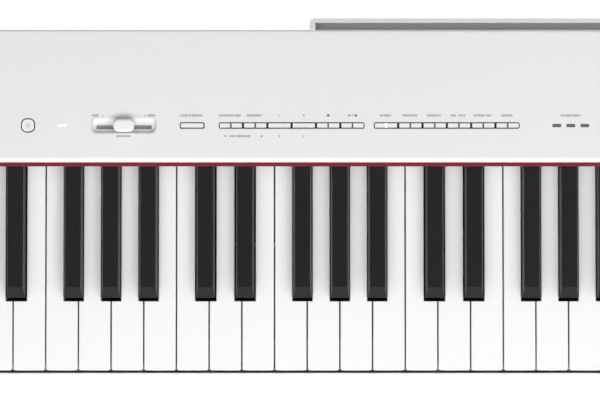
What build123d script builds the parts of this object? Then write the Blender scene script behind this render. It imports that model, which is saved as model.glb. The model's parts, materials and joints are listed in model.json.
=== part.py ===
"""Slab digital piano with 88 weighted keys, on its furniture stand.

Millimetres. +X runs right along the keyboard, the player sits at -Y, +Z is up.
The origin is on the floor under the middle of the piano.
"""
from build123d import *
import os

# Keyboard: 52 naturals at the standard pitch, 36 sharps between them
key_pitch = 23.5
natural_count = 52
lowest_key = 9            # semitones above the octave's C, so the lowest key is an A
key_count = 88
keyboard_half = key_pitch * natural_count / 2
octave_width = 7 * key_pitch
key_gap = 1.0
key_height = 20
key_front = -114
key_rear = 36             # where the full-width playing part ends, under the panel
sharp_slot_front = -64.5  # front of the notch in the naturals
sharp_front = -62.3
sharp_width = 13.7
sharp_top_width = 9.4
sharp_rise = 12
sharp_edge = 0.8          # chamfer along the top of a sharp
nose_length = 7.2
nose_height = 2.5         # height of the nose above the naturals
tail_width = 9.5
tail_rear = 100
tail_drop = 4             # tails are lower than the playing part
pivot_y = 92

# Stand and the height of the piano above it
stand_height = 630
foot_height = 6
glide_height = 6
foot_radius = 11
foot_half_spacing = 95
glide_radius = 9
glide_half_spacing = 150
base_z = stand_height + foot_height
key_top = base_z + 98
key_bottom = key_top - key_height
panel_top = base_z + 126
panel_wall = 3

# Piano body
body_half = 663
body_front = -131
body_rear = 129
corner_radius = 3
panel_front = 34.3
bevel = 2.5
fascia_bottom = panel_top - 12
case_split = base_z + 40  # where the top shells meet the bottom case
case_floor = 4
case_corner = 6
slip_rear = -116
slip_top = base_z + 86
slip_wall = 4
cheek_inner = keyboard_half + 1
cheek_front_top = slip_top + 16
cheek_nose_y = -119
cheek_nose_radius = 12
cheek_shoulder_y = -100
control_row = 60

# Groove behind the panel that takes the foot of a music rest
groove_half = 304
groove_width = 4.8
groove_wall = 3.2
groove_end_wall = 4.3
groove_corner = 3.6
groove_top = panel_top - 1
groove_floor = panel_top - 9

# Action under the keys
key_pivot_z = key_top - 12
hammer_pivot_y = -22
hammer_pivot_z = base_z + 46
hammer_width = 8
hammer_front = -64
hammer_rear = 66
hammer_weight_front = 42  # the lever is deeper behind this line
plunger_y = -58
plunger_half = 3
plunger_bottom = key_bottom - 25
frame_floor = base_z + 9
frame_sheet = 3
frame_front = -112
ledge_rear = -66
ledge_top = key_bottom - 14
rail_front = 44
rail_rear = 62
rail_top = hammer_pivot_z - 17
pivot_bar_radius = 1.6
pivot_hole_radius = 2.3
post_width = 2.5
post_head = 6             # how far a post rises above its bar

# Stand
side_outer = 640
side_thickness = 20
cleat_width = 45
cleat_height = 25
foot_half_depth = 175
bolt_x = side_outer - side_thickness - 23
bolt_y = 50
bolt_radius = 3
knob_radius = 11
knob_height = 8
side_top_front = -112
side_top_rear = 118
back_board_half_thickness = 9
back_board_bottom = 300
back_board_top = 590
cross_bolt_y = 69
cross_bolt_heights = (350, 540)
cross_bolt_radius = 3.5
cross_bolt_length = 50
cross_head_radius = 7
cross_head_height = 3

# Screws through the floor of the bottom case: two rows of four
screw_spacing = 300
screw_row_spacing = 180
screw_radius = 1.5
screw_head_radius = 3.5
screw_head_height = 2
screw_length = 8.5

PITCH_NAMES = ("c", "c_sharp", "d", "d_sharp", "e", "f", "f_sharp", "g", "g_sharp", "a", "a_sharp", "b")
NATURALS = (0, 2, 4, 5, 7, 9, 11)
SHARP_SHIFT = {1: -2.45, 3: 2.35, 6: -3.4, 8: 0.0, 10: 3.4}
SHARP_SLOT = {1: 15.2, 3: 15.2, 6: 14.45, 8: 14.45, 10: 14.45}

# Controls on the panel: centres along X
power_x = -504.6
power_size = 9
power_corner = 3.6
power_travel = 1.2
power_proud = 1
power_lamp_x = -480.3
slider_x = -436.3
song_x = -387.6
song_length = 16.6
button_pitch = 17.35
button_length = 16.15
button_depth = 3.4
button_corner = 0.6
button_proud = 0.8
button_travel = 0.8
button_clearance = 0.5
left_buttons_x = -316.6
voice_buttons_x = -205.95
left_buttons = ("metronome", "rhythm", "minus", "plus", "record", "play_stop")
voice_buttons = ("grand", "electric", "organ", "clavi", "strings", "layer")
opening_corner = 1.3
flange_width = 1.2
flange_height = 1
flange_gap = 0.4          # between the flange and the underside of the panel
stem_half = 1.5
stem_gap = 0.3            # left above the switch when the button is down
board_thickness = 1.6
board_top = panel_top - 13.4
switch_top = board_top + 3
fader_top = board_top + 4.5
fader_half_length = 30
lamp_length = 6.1
lamp_corner = 0.5
power_lamp_depth = 1.6
variation_lamp_depth = 2.2
variation_lamp_x = -117.5
variation_lamp_pitch = 10
bezel_length = 46.6
bezel_depth = 11.8
bezel_height = 5
bezel_corner = 4.5
bezel_rim = 0.5
dish_depth = 2.6
dish_taper = 40
slot_length = 39.4
slot_depth = 3
slot_row = control_row - 1.2
knob_length = 15
knob_depth = 9.2
knob_corner = 4
knob_chamfer = 1.2
knob_gap = 0.4            # between the knob and the panel
slider_knob_height = 4.6
lever_half_length = 2.2
lever_half_thickness = 0.4

# Rear wall: sockets and speaker grilles
socket_z = base_z + 66
socket_depth = 15
socket_wall = 1.7
socket_half = 7.5
main_board_y = 110
phone_sockets = ((-60, 3.25), (-30, 3.25), (0, 3.25))
small_sockets = ((30, 1.8), (60, 2.8))
speaker_x = 480
speaker_z = base_z + 68
speaker_length = 118
speaker_height = 56
basket_depth = 8
magnet_radius = 22
magnet_depth = 14
grille_slots = 12
grille_pitch = 8


def save(builder, name):
    """Label one finished piece and write it as its own file."""
    builder.part.label = name
    export_step(builder.part, f"parts/{name}.step")


def octave_start(octave):
    """Left edge of an octave's C on the keyboard."""
    return -keyboard_half - 5 * key_pitch + octave * octave_width


def keys_of(semitone):
    """Octaves in which this semitone is on the 88-key keyboard."""
    numbers = range(lowest_key, lowest_key + key_count)
    return [number // 12 for number in numbers if number % 12 == semitone]


def tail_centre(octave, semitone):
    """The twelve key tails of an octave share its width equally."""
    return octave_start(octave) + (semitone + 0.5) * octave_width / 12


def sharp_centre(octave, semitone):
    """A sharp stands near the joint of two naturals, moved by its own amount."""
    naturals_before = len([n for n in NATURALS if n < semitone])
    return octave_start(octave) + naturals_before * key_pitch + SHARP_SHIFT[semitone]


def block(x_low, x_high, y_low, y_high, z_low, z_high, mode=Mode.ADD):
    """A plain rectangular block between two corners."""
    with BuildSketch(Plane.XY.offset(z_low)) as base:
        with Locations(((x_low + x_high) / 2, (y_low + y_high) / 2)):
            Rectangle(x_high - x_low, y_high - y_low)
    extrude(base.sketch, amount=z_high - z_low, mode=mode)


def profile_along_x(points, x_low, x_high, mode=Mode.ADD):
    """A (Y, Z) outline run from one X to another."""
    with BuildSketch(Plane.YZ.offset(x_low)) as outline:
        with BuildLine():
            Polyline(*points, close=True)
        make_face()
    extrude(outline.sketch, amount=x_high - x_low, mode=mode)


def panel_hole(x, length, depth, radius):
    """A rounded opening cut through the top panel at the control row."""
    with BuildSketch(Plane.XY.offset(panel_top)) as opening:
        with Locations((x, control_row)):
            RectangleRounded(length, depth, radius)
    extrude(opening.sketch, amount=-panel_wall, mode=Mode.SUBTRACT)


def octagon_hole(y, z, radius, x_low, x_high):
    """An eight-sided hole along X, for an eight-sided pivot bar."""
    with BuildSketch(Plane.YZ.offset(x_low)) as hole:
        with Locations((y, z)):
            RegularPolygon(radius, 8)
    extrude(hole.sketch, amount=x_high - x_low, mode=Mode.SUBTRACT)


def add_tails(octaves, semitone):
    """Tail behind the playing part, with the pivot hole, and the plunger below."""
    tail_front = key_rear - 2
    tail_outline = [
        (tail_front, key_bottom),
        (tail_rear, key_bottom),
        (tail_rear, key_top - tail_drop),
        (tail_front, key_top - tail_drop),
    ]
    for octave in octaves:
        low = tail_centre(octave, semitone) - tail_width / 2
        profile_along_x(tail_outline, low, low + tail_width)
        middle = low + tail_width / 2
        block(middle - plunger_half, middle + plunger_half, plunger_y - plunger_half,
              plunger_y + plunger_half, plunger_bottom, key_bottom)
        octagon_hole(pivot_y, key_pivot_z, pivot_hole_radius, low, low + tail_width)


def natural_keys(semitone):
    """White keys of one note: full at the front, notched for their sharps behind."""
    octaves = keys_of(semitone)
    place = NATURALS.index(semitone)
    notch_rear = key_rear + key_gap
    with BuildPart() as keys:
        with BuildSketch(Plane.XY.offset(key_bottom)):
            for octave in octaves:
                left = octave_start(octave) + place * key_pitch
                with Locations((left + key_pitch / 2, (key_front + key_rear) / 2)):
                    Rectangle(key_pitch - key_gap, key_rear - key_front)
                for sharp in (semitone - 1, semitone + 1):
                    if sharp in SHARP_SHIFT and lowest_key < octave * 12 + sharp < lowest_key + key_count:
                        with Locations((sharp_centre(octave, sharp), (sharp_slot_front + notch_rear) / 2)):
                            Rectangle(SHARP_SLOT[sharp], notch_rear - sharp_slot_front, mode=Mode.SUBTRACT)
        extrude(amount=key_height)
        add_tails(octaves, semitone)
    save(keys, f"{PITCH_NAMES[semitone]}_keys")


def sharp_keys(semitone):
    """Black keys of one note: tapered sides and a sloping front."""
    octaves = keys_of(semitone)
    sharp_top = key_top + sharp_rise
    base_half = sharp_width / 2
    top_half = sharp_top_width / 2
    with BuildPart() as keys:
        for octave in octaves:
            x = sharp_centre(octave, semitone)
            with BuildSketch(Plane.XZ.offset(-key_rear)):
                with BuildLine():
                    Polyline(
                        (x - base_half, key_bottom),
                        (x - base_half, key_top),
                        (x - top_half - sharp_edge, sharp_top - sharp_edge),
                        (x - top_half, sharp_top),
                        (x + top_half, sharp_top),
                        (x + top_half + sharp_edge, sharp_top - sharp_edge),
                        (x + base_half, key_top),
                        (x + base_half, key_bottom),
                        close=True,
                    )
                make_face()
            extrude(amount=key_rear - sharp_front)
        nose_foot = key_top + nose_height
        nose = [
            (sharp_front, nose_foot),
            (sharp_front + sharp_edge, nose_foot + sharp_edge),
            (sharp_front + nose_length, sharp_top),
            (sharp_front, sharp_top),
        ]
        profile_along_x(nose, -keyboard_half, keyboard_half, Mode.SUBTRACT)
        add_tails(octaves, semitone)
    save(keys, f"{PITCH_NAMES[semitone]}_keys")


def hammers(semitone):
    """Weighted levers, one under each key of this note."""
    lever_top = hammer_pivot_z + 6
    lever_underside = hammer_pivot_z - 5
    weight_underside = hammer_pivot_z - 12
    outline = [
        (hammer_front, hammer_pivot_z - 2),
        (hammer_front, lever_top),
        (hammer_rear, lever_top),
        (hammer_rear, weight_underside),
        (hammer_weight_front, weight_underside),
        (hammer_weight_front - 4, lever_underside),
        (-40, lever_underside),
    ]
    with BuildPart() as levers:
        for octave in keys_of(semitone):
            low = tail_centre(octave, semitone) - hammer_width / 2
            profile_along_x(outline, low, low + hammer_width)
            octagon_hole(hammer_pivot_y, hammer_pivot_z, pivot_hole_radius, low, low + hammer_width)
    save(levers, f"{PITCH_NAMES[semitone]}_hammers")


def button_row_x(centre):
    """Centres of the six buttons of one row."""
    return [centre + (place - 2.5) * button_pitch for place in range(6)]


def push_button(name, x, length, depth, radius, proud, travel):
    """A cap through the panel, a flange that keeps it in, and a stem to its switch."""
    flange_top = panel_top - panel_wall - flange_gap
    flange_bottom = flange_top - flange_height
    flange_half = depth / 2 + flange_width
    with BuildPart() as button:
        with BuildSketch(Plane.XY.offset(flange_top)):
            with Locations((x, control_row)):
                RectangleRounded(length, depth, radius)
        extrude(amount=panel_top + proud - flange_top)
        block(x - length / 2, x + length / 2, control_row - flange_half, control_row + flange_half,
              flange_bottom, flange_top)
        block(x - stem_half, x + stem_half, control_row - stem_half, control_row + stem_half,
              switch_top + travel + stem_gap, flange_bottom)
    save(button, name)


def panel_openings():
    """Openings of the controls: power, slider, single button, the two rows and the lamps."""
    gap = 2 * button_clearance
    panel_hole(power_x, power_size + gap, power_size + gap, power_corner + button_clearance)
    panel_hole(slider_x, bezel_length, bezel_depth, bezel_corner)
    panel_hole(song_x, song_length + gap, button_depth + gap, opening_corner)
    row_length = 5 * button_pitch + button_length + gap
    for centre in (left_buttons_x, voice_buttons_x):
        panel_hole(centre, row_length, button_depth + gap, opening_corner)
    for x, depth in lamp_places():
        panel_hole(x, lamp_length, depth, lamp_corner)


def lamp_places():
    """Centre and depth of the fixed lamps: one for power, three for variation."""
    places = [(power_lamp_x, power_lamp_depth)]
    for place in (-1, 0, 1):
        places.append((variation_lamp_x + place * variation_lamp_pitch, variation_lamp_depth))
    return places


def cross_bolt_circles(plane, radius, length, mode=Mode.ADD):
    """Round bars or holes along X where the cross bolts of the stand run."""
    with BuildSketch(plane) as circles:
        with Locations(*[(cross_bolt_y, height) for height in cross_bolt_heights]):
            Circle(radius)
    extrude(circles.sketch, amount=length, mode=mode)


def four_posts(z_low, half_x, half_y, radius, height, mode=Mode.ADD):
    """Four equal round posts or holes, one near each corner of the piano."""
    with BuildSketch(Plane.XY.offset(z_low)) as circles:
        with GridLocations(2 * half_x, 2 * half_y, 2, 2):
            Circle(radius)
    extrude(circles.sketch, amount=height, mode=mode)


def screw_posts(z_low, radius, height, mode=Mode.ADD):
    """Round posts or holes where the screws of the bottom case are."""
    with BuildSketch(Plane.XY.offset(z_low)) as circles:
        with GridLocations(screw_spacing, screw_row_spacing, 4, 2):
            Circle(radius)
    extrude(circles.sketch, amount=height, mode=mode)


os.makedirs("parts", exist_ok=True)

# Bottom case: moulded tray with bolt holes and stand-offs for the key frame
with BuildPart() as bottom_case:
    body_middle = (body_front + body_rear) / 2
    case_width = 2 * body_half
    case_depth = body_rear - body_front
    with BuildSketch(Plane.XY.offset(base_z)):
        with Locations((0, body_middle)):
            RectangleRounded(case_width, case_depth, case_corner)
    extrude(amount=case_split - base_z)
    with BuildSketch(Plane.XY.offset(base_z + case_floor)):
        with Locations((0, body_middle)):
            RectangleRounded(case_width - 2 * panel_wall, case_depth - 2 * panel_wall, case_corner - 2)
    extrude(amount=case_split - base_z, mode=Mode.SUBTRACT)
    for x in (-450, -150, 150, 450):
        for y in (-95, 85):
            block(x - 12, x + 12, y - 8, y + 8, base_z + case_floor, frame_floor)
    four_posts(base_z, bolt_x, bolt_y, bolt_radius + 0.1, case_floor, Mode.SUBTRACT)
    screw_posts(base_z, screw_radius + 0.1, frame_floor - base_z, Mode.SUBTRACT)
save(bottom_case, "bottom_case")

# Screws driven up through the floor into the key frame's stand-offs
with BuildPart() as case_screws:
    screw_posts(base_z - screw_head_height, screw_head_radius, screw_head_height)
    screw_posts(base_z, screw_radius, screw_length)
save(case_screws, "case_screws")

# Rubber feet between the piano and the stand's cleats
with BuildPart() as rubber_feet:
    four_posts(stand_height, bolt_x, foot_half_spacing, foot_radius, foot_height)
save(rubber_feet, "rubber_feet")

# Top panel: front bevel and fascia, flat control surface, rear wall, and the rest's groove
with BuildPart() as top_panel:
    wall_inner = panel_front + panel_wall
    underside = panel_top - panel_wall
    with BuildSketch(Plane.YZ.offset(-cheek_inner)):
        with BuildLine():
            Polyline(
                (body_rear - corner_radius, panel_top),
                (panel_front + bevel, panel_top),
                (panel_front, panel_top - bevel),
                (panel_front, fascia_bottom),
                (wall_inner, fascia_bottom),
                (wall_inner, underside - 1),
                (wall_inner + 1, underside),
                (body_rear - panel_wall, underside),
                (body_rear - panel_wall, case_split),
                (body_rear, case_split),
                (body_rear, panel_top - corner_radius),
            )
            RadiusArc((body_rear, panel_top - corner_radius),
                      (body_rear - corner_radius, panel_top), -corner_radius)
        make_face()
    extrude(amount=2 * cheek_inner)
    panel_openings()
    for x, radius in phone_sockets + small_sockets:
        with BuildSketch(Plane.XZ.offset(-body_rear)):
            with Locations((x, socket_z)):
                Circle(radius + socket_wall + 0.05)
        extrude(amount=panel_wall, mode=Mode.SUBTRACT)
    for side in (-1, 1):
        with BuildSketch(Plane.XZ.offset(-body_rear)):
            with Locations((side * speaker_x, speaker_z)):
                with GridLocations(grille_pitch, 0, grille_slots, 1):
                    SlotOverall(44, 3.5, rotation=90)
        extrude(amount=panel_wall, mode=Mode.SUBTRACT)
    ledge_depth = groove_width + groove_wall
    with BuildSketch(Plane.XY.offset(groove_floor - groove_wall)) as ledge:
        with Locations((0, body_rear + ledge_depth / 2)):
            Rectangle(2 * groove_half, ledge_depth)
        fillet(ledge.vertices().group_by(Axis.Y)[-1], groove_corner)
    extrude(amount=groove_top - groove_floor + groove_wall)
    groove_inner = groove_half - groove_end_wall
    for low, high in ((-groove_half, -groove_inner), (groove_inner, groove_half)):
        block(low, high, body_rear - corner_radius, body_rear, underside, groove_top)
    block(-groove_inner, groove_inner, body_rear, body_rear + groove_width,
          groove_floor, groove_top, Mode.SUBTRACT)
save(top_panel, "top_panel")

# End cheeks: hollow blocks that close the keyboard at each end
with BuildPart() as end_cheeks:
    nose_low = cheek_front_top - cheek_nose_radius
    inner_top = panel_top - 8
    hollow = [
        (body_front + panel_wall, case_split),
        (body_front + panel_wall, nose_low),
        (panel_front - bevel, inner_top),
        (body_rear - panel_wall, inner_top),
        (body_rear - panel_wall, case_split),
    ]
    for low in (-body_half, cheek_inner):
        with BuildSketch(Plane.YZ.offset(low)):
            with BuildLine():
                Polyline(
                    (body_rear - corner_radius, panel_top),
                    (panel_front + bevel, panel_top),
                    (cheek_shoulder_y, cheek_front_top + 8),
                    (cheek_nose_y, cheek_front_top),
                )
                RadiusArc((cheek_nose_y, cheek_front_top), (body_front, nose_low), -cheek_nose_radius)
                Polyline(
                    (body_front, nose_low),
                    (body_front, case_split),
                    (body_rear, case_split),
                    (body_rear, panel_top - corner_radius),
                )
                RadiusArc((body_rear, panel_top - corner_radius),
                          (body_rear - corner_radius, panel_top), -corner_radius)
            make_face()
        extrude(amount=body_half - cheek_inner)
        profile_along_x(hollow, low + panel_wall, low + body_half - cheek_inner - panel_wall, Mode.SUBTRACT)
save(end_cheeks, "end_cheeks")

# Key slip: front rail with a rounded front edge
with BuildPart() as key_slip:
    with BuildSketch(Plane.YZ.offset(-cheek_inner)):
        with BuildLine():
            Polyline(
                (body_front + corner_radius, slip_top),
                (slip_rear, slip_top),
                (slip_rear, slip_top - slip_wall),
                (body_front + panel_wall, slip_top - slip_wall),
                (body_front + panel_wall, case_split),
                (body_front, case_split),
                (body_front, slip_top - corner_radius),
            )
            RadiusArc((body_front, slip_top - corner_radius),
                      (body_front + corner_radius, slip_top), corner_radius)
        make_face()
    extrude(amount=2 * cheek_inner)
save(key_slip, "key_slip")

# Red felt glued under the fascia, just above the keys
with BuildPart() as felt_strip:
    block(-keyboard_half, keyboard_half, panel_front - 2.6, panel_front + 0.8,
          fascia_bottom - 3, fascia_bottom)
save(felt_strip, "felt_strip")

# Key frame: folded floor, front ledge, rear rail, and posts that carry the two pivot bars
with BuildPart() as key_frame:
    floor_top = frame_floor + frame_sheet
    block(-keyboard_half, keyboard_half, frame_front, tail_rear, frame_floor, floor_top)
    block(-keyboard_half, keyboard_half, frame_front, frame_front + frame_sheet, floor_top, ledge_top)
    block(-keyboard_half, keyboard_half, frame_front, ledge_rear, ledge_top - frame_sheet, ledge_top)
    block(-keyboard_half, keyboard_half, rail_front, rail_rear, floor_top, rail_top)
    post_places = [octave_start(octave) for octave in range(1, 9)]
    for x in post_places + [-keyboard_half + post_width / 2, keyboard_half - post_width / 2]:
        low = x - post_width / 2
        for y, z in ((hammer_pivot_y, hammer_pivot_z), (pivot_y, key_pivot_z)):
            block(low, low + post_width, y - 5, y + 5, floor_top, z + post_head)
    for y, z in ((hammer_pivot_y, hammer_pivot_z), (pivot_y, key_pivot_z)):
        octagon_hole(y, z, pivot_bar_radius + 0.05, -keyboard_half, keyboard_half)
save(key_frame, "key_frame")

# Steel pivot bars of the keys and of the hammers
with BuildPart() as pivot_bars:
    with BuildSketch(Plane.YZ.offset(-keyboard_half)):
        with Locations((hammer_pivot_y, hammer_pivot_z), (pivot_y, key_pivot_z)):
            RegularPolygon(pivot_bar_radius, 8)
    extrude(amount=2 * keyboard_half)
save(pivot_bars, "pivot_bars")

# Felts that stop the pressed keys and carry the resting hammers
with BuildPart() as stop_felts:
    block(-keyboard_half, keyboard_half, -108, -92, ledge_top, ledge_top + 3.5)
    block(-keyboard_half, keyboard_half, rail_front, rail_rear, rail_top, rail_top + 4.6)
save(stop_felts, "stop_felts")

# Circuit boards: key contacts, main board behind the sockets, panel board with switches and fader
with BuildPart() as circuit_boards:
    block(-keyboard_half, keyboard_half, -90, -68, ledge_top, ledge_top + board_thickness)
    block(-150, 150, main_board_y, main_board_y + board_thickness, socket_z - 18, socket_z + 18)
    block(-520, -95, control_row - 14, control_row + 20, board_top - board_thickness, board_top)
    row_switches = button_row_x(left_buttons_x) + button_row_x(voice_buttons_x)
    for x in row_switches + [power_x, song_x]:
        block(x - 3, x + 3, control_row - 3, control_row + 3, board_top, switch_top)
    block(slider_x - fader_half_length, slider_x + fader_half_length, control_row - 3.5,
          control_row + 3.5, board_top, fader_top)
save(circuit_boards, "circuit_boards")

# Two oval speakers behind the rear grilles
with BuildPart() as speakers:
    basket_rear = body_rear - panel_wall
    for side in (-1, 1):
        with BuildSketch(Plane.XZ.offset(-basket_rear)):
            with Locations((side * speaker_x, speaker_z)):
                SlotOverall(speaker_length, speaker_height)
        extrude(amount=basket_depth)
        with BuildSketch(Plane.XZ.offset(-(basket_rear - basket_depth))):
            with Locations((side * speaker_x, speaker_z)):
                Circle(magnet_radius)
        extrude(amount=magnet_depth)
save(speakers, "speakers")

# Rear sockets: moulded bodies on the main board with round bushings through the wall
with BuildPart() as jacks:
    for x, radius in phone_sockets + small_sockets:
        block(x - socket_half, x + socket_half, main_board_y + board_thickness, body_rear - panel_wall,
              socket_z - socket_half, socket_z + socket_half)
        with BuildSketch(Plane.XZ.offset(-body_rear)):
            with Locations((x, socket_z)):
                Circle(radius + socket_wall)
        extrude(amount=panel_wall)
        with BuildSketch(Plane.XZ.offset(-body_rear)):
            with Locations((x, socket_z)):
                Circle(radius)
        extrude(amount=socket_depth, mode=Mode.SUBTRACT)
save(jacks, "jacks")

# Light pipes of the fixed lamps, flush in the panel
with BuildPart() as lamps:
    for x, depth in lamp_places():
        with BuildSketch(Plane.XY.offset(panel_top - panel_wall - 1)):
            with Locations((x, control_row)):
                RectangleRounded(lamp_length, depth, lamp_corner)
        extrude(amount=panel_wall + 1)
save(lamps, "lamps")

# Slider bezel: dish with the fader's slot
with BuildPart() as slider_bezel:
    with BuildSketch(Plane.XY.offset(panel_top - bezel_height)):
        with Locations((slider_x, control_row)):
            RectangleRounded(bezel_length, bezel_depth, bezel_corner)
    extrude(amount=bezel_height)
    with BuildSketch(Plane.XY.offset(panel_top)):
        with Locations((slider_x, control_row)):
            RectangleRounded(bezel_length - 2 * bezel_rim, bezel_depth - 2 * bezel_rim,
                             bezel_corner - bezel_rim)
    extrude(amount=-dish_depth, taper=dish_taper, mode=Mode.SUBTRACT)
    with BuildSketch(Plane.XY.offset(panel_top)):
        with Locations((slider_x, slot_row)):
            RectangleRounded(slot_length, slot_depth, 1)
    extrude(amount=-bezel_height, mode=Mode.SUBTRACT)
save(slider_bezel, "slider_bezel")

# Volume knob: pill-shaped cap over the dish, on the thin lever of the fader
with BuildPart() as volume_knob:
    knob_bottom = panel_top + knob_gap
    with BuildSketch(Plane.XY.offset(knob_bottom)):
        with Locations((slider_x, control_row)):
            RectangleRounded(knob_length, knob_depth, knob_corner)
    extrude(amount=slider_knob_height)
    chamfer(volume_knob.faces().sort_by(Axis.Z)[-1].edges(), knob_chamfer)
    block(slider_x - lever_half_length, slider_x + lever_half_length, slot_row - lever_half_thickness,
          slot_row + lever_half_thickness, fader_top + knob_gap, knob_bottom)
save(volume_knob, "volume_knob")

push_button("power_button", power_x, power_size, power_size, power_corner, power_proud, power_travel)
push_button("song_button", song_x, song_length, button_depth, 1, button_proud, button_travel)
for words, centre, ending in ((left_buttons, left_buttons_x, "button"),
                              (voice_buttons, voice_buttons_x, "voice_button")):
    for word, x in zip(words, button_row_x(centre)):
        push_button(f"{word}_{ending}", x, button_length, button_depth, button_corner,
                    button_proud, button_travel)

for semitone in range(12):
    if semitone in NATURALS:
        natural_keys(semitone)
    else:
        sharp_keys(semitone)
    hammers(semitone)

# Stand: two tapered side panels, each with a cleat that carries the piano
side_outline = [
    (-foot_half_depth, glide_height),
    (foot_half_depth, glide_height),
    (side_top_rear, stand_height),
    (side_top_front, stand_height),
]
for side, name in ((-1, "left_side_panel"), (1, "right_side_panel")):
    side_inner = side_outer - side_thickness
    panel_low = min(side * side_outer, side * side_inner)
    cleat_low = min(side * side_inner, side * (side_inner - cleat_width))
    with BuildPart() as side_panel:
        profile_along_x(side_outline, panel_low, panel_low + side_thickness)
        block(cleat_low, cleat_low + cleat_width, side_top_front + 4, side_top_rear - 4,
              stand_height - cleat_height, stand_height)
        with BuildSketch(Plane.XY.offset(stand_height)):
            with Locations((side * bolt_x, -bolt_y), (side * bolt_x, bolt_y)):
                Circle(bolt_radius + 0.2)
        extrude(amount=-cleat_height, mode=Mode.SUBTRACT)
        cross_bolt_circles(Plane.YZ.offset(panel_low), cross_bolt_radius + 0.1,
                           side_thickness, Mode.SUBTRACT)
    save(side_panel, name)

# Back board between the side panels, with a blind hole at each end for each bolt
with BuildPart() as back_board:
    board_half = side_outer - side_thickness
    hole_length = cross_bolt_length - side_thickness + 2
    block(-board_half, board_half, cross_bolt_y - back_board_half_thickness,
          cross_bolt_y + back_board_half_thickness, back_board_bottom, back_board_top)
    for low in (-board_half, board_half - hole_length):
        cross_bolt_circles(Plane.YZ.offset(low), cross_bolt_radius + 0.1, hole_length, Mode.SUBTRACT)
save(back_board, "back_board")

# Bolts: knobs up through the cleats into the piano, and cross bolts into the back board
with BuildPart() as stand_bolts:
    cleat_bottom = stand_height - cleat_height
    four_posts(cleat_bottom - knob_height, bolt_x, bolt_y, knob_radius, knob_height)
    four_posts(cleat_bottom, bolt_x, bolt_y, bolt_radius, cleat_height + foot_height + 8)
    for head_low, shank_low in ((-side_outer - cross_head_height, -side_outer),
                                (side_outer, side_outer - cross_bolt_length)):
        cross_bolt_circles(Plane.YZ.offset(head_low), cross_head_radius, cross_head_height)
        cross_bolt_circles(Plane.YZ.offset(shank_low), cross_bolt_radius, cross_bolt_length)
save(stand_bolts, "stand_bolts")

# Glides under the side panels
with BuildPart() as floor_glides:
    four_posts(0, side_outer - side_thickness / 2, glide_half_spacing, glide_radius, glide_height)
save(floor_glides, "floor_glides")
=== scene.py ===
import bmesh
import bpy
import json
import math
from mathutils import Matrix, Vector


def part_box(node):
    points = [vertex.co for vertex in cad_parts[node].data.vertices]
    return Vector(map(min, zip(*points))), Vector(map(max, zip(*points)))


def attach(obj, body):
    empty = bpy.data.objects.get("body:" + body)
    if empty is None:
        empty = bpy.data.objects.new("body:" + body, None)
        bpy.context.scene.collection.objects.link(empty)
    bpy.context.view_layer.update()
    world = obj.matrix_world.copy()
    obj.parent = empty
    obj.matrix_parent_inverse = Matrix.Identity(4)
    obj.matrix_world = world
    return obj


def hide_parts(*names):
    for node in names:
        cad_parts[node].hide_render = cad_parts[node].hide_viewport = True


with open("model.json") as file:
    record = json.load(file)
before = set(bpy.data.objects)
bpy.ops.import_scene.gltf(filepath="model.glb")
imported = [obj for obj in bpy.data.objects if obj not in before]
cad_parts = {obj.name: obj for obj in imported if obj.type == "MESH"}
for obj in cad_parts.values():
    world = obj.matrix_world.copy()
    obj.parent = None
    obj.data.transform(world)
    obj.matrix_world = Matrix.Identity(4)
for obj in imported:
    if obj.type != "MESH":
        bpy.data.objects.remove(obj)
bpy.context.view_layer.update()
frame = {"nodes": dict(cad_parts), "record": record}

MM = 0.001

# ---------------------------------------------------------------------------------------------
# Studio. The camera hangs straight over the left and centre of the keyboard, far enough away to
# look almost without perspective. A pale floor and four soft lights stand round the piano.
key_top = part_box("e_keys")[1].z
view_width = 432 * MM
view_x, view_y = -310.65 * MM, 5 * MM
camera_distance = 2.7
camera_lean = math.radians(2.9)

lens_data = bpy.data.cameras.new("overhead_camera")
lens_data.lens = lens_data.sensor_width * camera_distance / view_width
lens_data.clip_end = 200
camera = bpy.data.objects.new("overhead_camera", lens_data)
camera.location = (view_x, view_y - camera_distance * math.sin(camera_lean),
                   key_top + camera_distance * math.cos(camera_lean))
camera.rotation_euler = (camera_lean, 0, 0)
bpy.context.collection.objects.link(camera)
bpy.context.scene.camera = camera
bpy.context.scene.view_settings.view_transform = "Standard"


class Wire:
    """A socket in a node tree. Arithmetic on it adds Math nodes, and add() makes any other node."""

    def __init__(self, tree, socket=None):
        self.tree = tree
        self.socket = socket

    def add(self, kind, settings=None, output=0, **values):
        """A node of any kind: its settings first, then values or wires by input name."""
        node = self.tree.nodes.new(kind)
        for key, value in (settings or {}).items():
            setattr(node, key, value)
        for name, value in values.items():
            put(self.tree, node, name.replace("_", " "), value)
        return Wire(self.tree, node.outputs[output])

    def math(self, operation, left, right):
        node = self.tree.nodes.new("ShaderNodeMath")
        node.operation = operation
        put(self.tree, node, 0, left)
        put(self.tree, node, 1, right)
        return Wire(self.tree, node.outputs[0])

    def __add__(self, other):
        return self.math("ADD", self, other)

    __radd__ = __add__

    def __sub__(self, other):
        return self.math("SUBTRACT", self, other)

    def __rsub__(self, other):
        return self.math("SUBTRACT", other, self)

    def __mul__(self, other):
        return self.math("MULTIPLY", self, other)

    __rmul__ = __mul__

    def __gt__(self, other):
        return self.math("GREATER_THAN", self, other)

    def __lt__(self, other):
        return self.math("LESS_THAN", self, other)


def put(tree, node, name, value):
    """Gives one input a value or a wire."""
    if isinstance(value, Wire):
        tree.links.new(value.socket, node.inputs[name])
    else:
        node.inputs[name].default_value = value


def new_finish(name):
    """An empty material: its wire, its shader node, and Object coordinates."""
    material = bpy.data.materials.new(name)
    material.use_nodes = True
    tree = material.node_tree
    shader = next(node for node in tree.nodes if node.type == "BSDF_PRINCIPLED")
    wire = Wire(tree)
    place = wire.add("ShaderNodeTexCoord", output=3)
    return material, wire, shader, place


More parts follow.
